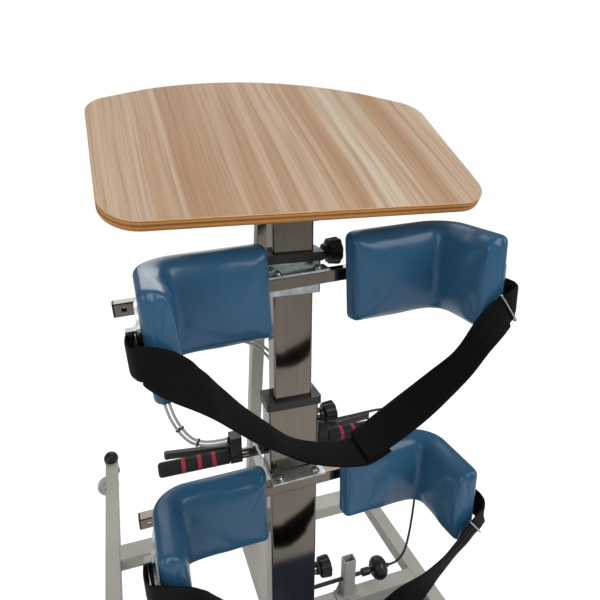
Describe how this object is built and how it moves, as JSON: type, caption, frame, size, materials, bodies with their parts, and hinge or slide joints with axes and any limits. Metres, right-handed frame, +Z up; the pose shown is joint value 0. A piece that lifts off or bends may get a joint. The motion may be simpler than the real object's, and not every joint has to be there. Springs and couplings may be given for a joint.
{
  "type": "standing frame",
  "caption": "Wheeled standing frame with a tilting wooden tray, L-shaped hip and knee pads on a telescopic column, straps and a rear push handle with levers.",
  "frame": {"origin": "on the floor at the middle of the castor base's footprint", "axes": "+Z up, +X to the right seen from the user's side, +Y from the user towards the push handle"},
  "size_m": [0.915, 1.3106, 1.3895],
  "materials": {
    "frame_paint": "satin",
    "chrome": "polished",
    "zinc": "zinc plated",
    "black_plastic": "matte",
    "foot_rubber": "ribbed",
    "castor_black": "satin",
    "wheel_grey": "smooth",
    "tray_wood": "laminate",
    "pad_leather": "gloss",
    "strap_web": "woven",
    "grip_foam": "foam",
    "cable_grey": "smooth",
    "cable_black": "smooth"
  },
  "bodies": {
    "base": {"left_rail": "frame_paint", "right_rail": "frame_paint", "front_cross_tube": "frame_paint", "rear_cross_tube": "frame_paint", "spine_tube": "frame_paint", "socket_caps": "black_plastic", "foot_board": "foot_rubber", "column_foot": "zinc", "outer_column": "chrome", "column_collar": "black_plastic", "column_lock": "black_plastic", "foot_lock_bracket": "frame_paint", "strut_foot": "frame_paint", "left_cables": "cable_grey", "right_cable": "cable_black"},
    "column_clamp": {"column_knob": "black_plastic"},
    "lower_clamp": {"lower_knob": "black_plastic"},
    "lock_bolt": {"lock_pin": "zinc"},
    "foot_lock": {"lock_plunger": "black_plastic"},
    "castor_front_left": {"castor_fork_front_left": "castor_black"},
    "wheel_front_left": {"castor_wheel_front_left": "wheel_grey"},
    "castor_front_right": {"castor_fork_front_right": "castor_black"},
    "wheel_front_right": {"castor_wheel_front_right": "wheel_grey"},
    "castor_rear_left": {"castor_fork_rear_left": "castor_black"},
    "wheel_rear_left": {"castor_wheel_rear_left": "wheel_grey"},
    "castor_rear_right": {"castor_fork_rear_right": "castor_black"},
    "wheel_rear_right": {"castor_wheel_rear_right": "wheel_grey"},
    "upper_column": {"inner_column": "chrome", "column_shoe": "black_plastic", "table_bracket": "zinc"},
    "table": {"table_plate": "zinc", "table_top": "tray_wood"},
    "tilt_clamp": {"tilt_knob": "black_plastic"},
    "strut_lower": {"strut_tube": "frame_paint"},
    "strut_upper": {"strut_inner": "chrome"},
    "hip_carriage": {"hip_bracket": "zinc", "hip_collar": "black_plastic", "hip_crossbar": "chrome", "hip_bar_plugs": "black_plastic"},
    "hip_clamp": {"hip_knob": "black_plastic"},
    "hip_left": {"hip_left_pad": "pad_leather", "hip_left_pad_bracket": "zinc", "hip_left_strap": "strap_web"},
    "hip_right": {"hip_right_pad": "pad_leather", "hip_right_pad_bracket": "zinc", "hip_right_strap": "strap_web"},
    "knee_carriage": {"knee_clamp": "zinc", "knee_crossbar": "chrome", "knee_bar_plugs": "black_plastic", "handle_bar": "chrome", "grips": "grip_foam", "lever_perches": "black_plastic"},
    "knee_left": {"knee_left_pad": "pad_leather", "knee_left_pad_bracket": "zinc", "knee_left_strap": "strap_web"},
    "knee_right": {"knee_right_pad": "pad_leather", "knee_right_pad_bracket": "zinc", "knee_right_strap": "strap_web"},
    "left_lever": {"lever_left": "black_plastic"},
    "right_lever": {"lever_right": "black_plastic"}
  },
  "joints": [
    {"name": "swivel_front_left", "type": "hinge", "parent": "base", "child": "castor_front_left", "pos_m": [-0.398, -0.6305, 0.1], "axis": [0, 0, 1], "continuous": true},
    {"name": "roll_front_left", "type": "hinge", "parent": "castor_front_left", "child": "wheel_front_left", "pos_m": [-0.42, -0.6305, 0.0375], "axis": [0, 1, 0], "continuous": true},
    {"name": "swivel_front_right", "type": "hinge", "parent": "base", "child": "castor_front_right", "pos_m": [0.398, -0.6305, 0.1], "axis": [0, 0, 1], "continuous": true},
    {"name": "roll_front_right", "type": "hinge", "parent": "castor_front_right", "child": "wheel_front_right", "pos_m": [0.42, -0.6305, 0.0375], "axis": [0, 1, 0], "continuous": true},
    {"name": "swivel_rear_left", "type": "hinge", "parent": "base", "child": "castor_rear_left", "pos_m": [-0.398, 0.6305, 0.1], "axis": [0, 0, 1], "continuous": true},
    {"name": "roll_rear_left", "type": "hinge", "parent": "castor_rear_left", "child": "wheel_rear_left", "pos_m": [-0.42, 0.6305, 0.0375], "axis": [0, 1, 0], "continuous": true},
    {"name": "swivel_rear_right", "type": "hinge", "parent": "base", "child": "castor_rear_right", "pos_m": [0.398, 0.6305, 0.1], "axis": [0, 0, 1], "continuous": true},
    {"name": "roll_rear_right", "type": "hinge", "parent": "castor_rear_right", "child": "wheel_rear_right", "pos_m": [0.42, 0.6305, 0.0375], "axis": [0, 1, 0], "continuous": true},
    {"name": "column_slide", "type": "slide", "parent": "base", "child": "upper_column", "axis": [0, 0, 1], "range_m": [0, 0.15]},
    {"name": "table_tilt", "type": "hinge", "parent": "upper_column", "child": "table", "pos_m": [0, -0.2075, 1.24], "axis": [1, 0, 0], "range_deg": [-29.3, 5]},
    {"name": "tilt_knob_turn", "type": "hinge", "parent": "upper_column", "child": "tilt_clamp", "pos_m": [0.07, -0.2075, 1.24], "axis": [1, 0, 0], "continuous": true},
    {"name": "strut_tilt", "type": "hinge", "parent": "base", "child": "strut_lower", "pos_m": [0, 0.1435, 0.175], "axis": [1, 0, 0], "range_deg": [-1.6, 0.1]},
    {"name": "strut_extend", "type": "slide", "parent": "strut_lower", "child": "strut_upper", "axis": [0, -0.2029, 0.9792], "range_m": [0, 0.149]},
    {"name": "hip_slide", "type": "slide", "parent": "upper_column", "child": "hip_carriage", "axis": [0, 0, 1], "range_m": [-0.165, 0.004]},
    {"name": "hip_knob_turn", "type": "hinge", "parent": "hip_carriage", "child": "hip_clamp", "pos_m": [0.07, -0.2375, 1.098], "axis": [1, 0, 0], "continuous": true},
    {"name": "knee_slide", "type": "slide", "parent": "base", "child": "knee_carriage", "axis": [0, 0, 1], "range_m": [-0.15, 0.06], "deforming": ["left_cables", "right_cable"]},
    {"name": "column_knob_turn", "type": "hinge", "parent": "base", "child": "column_clamp", "pos_m": [0.07, -0.2375, 0.758], "axis": [1, 0, 0], "continuous": true},
    {"name": "lower_knob_turn", "type": "hinge", "parent": "base", "child": "lower_clamp", "pos_m": [0.07, -0.2375, 0.35], "axis": [1, 0, 0], "continuous": true},
    {"name": "hip_left_pad_slide", "type": "slide", "parent": "hip_carriage", "child": "hip_left", "axis": [-0.9982, 0, -0.0593], "range_m": [-0.03, 0.05], "deforming": ["hip_left_strap"]},
    {"name": "hip_right_pad_slide", "type": "slide", "parent": "hip_carriage", "child": "hip_right", "axis": [0.9982, 0, 0.0593], "range_m": [-0.03, 0.05], "deforming": ["hip_right_strap"]},
    {"name": "knee_left_pad_slide", "type": "slide", "parent": "knee_carriage", "child": "knee_left", "axis": [-0.9997, 0, -0.0262], "range_m": [-0.03, 0.05], "deforming": ["knee_left_strap"]},
    {"name": "knee_right_pad_slide", "type": "slide", "parent": "knee_carriage", "child": "knee_right", "axis": [0.9997, 0, 0.0262], "range_m": [-0.03, 0.05], "deforming": ["knee_right_strap"]},
    {"name": "lever_left_pull", "type": "hinge", "parent": "knee_carriage", "child": "left_lever", "pos_m": [-0.098, -0.1335, 0.648], "axis": [0, 0, 1], "range_deg": [0, 8], "stiffness_Nm_per_rad": 6},
    {"name": "lever_right_pull", "type": "hinge", "parent": "knee_carriage", "child": "right_lever", "pos_m": [0.098, -0.1335, 0.648], "axis": [0, 0, -1], "range_deg": [0, 8], "stiffness_Nm_per_rad": 6},
    {"name": "lock_pin_slide", "type": "slide", "parent": "base", "child": "lock_bolt", "axis": [0, 1, 0], "range_m": [0, 0.0065]},
    {"name": "lock_plunger_slide", "type": "slide", "parent": "base", "child": "foot_lock", "axis": [1, 0, 0], "range_m": [0, 0.0065]}
  ],
  "couplings": [
    {"joint": "strut_tilt", "follows": "column_slide", "rad_per_m": -0.17751},
    {"joint": "strut_extend", "follows": "column_slide", "ratio": 0.98191},
    {"joint": "lock_pin_slide", "follows": "lever_left_pull", "m_per_rad": 0.043},
    {"joint": "lock_plunger_slide", "follows": "lever_right_pull", "m_per_rad": 0.043}
  ]
}
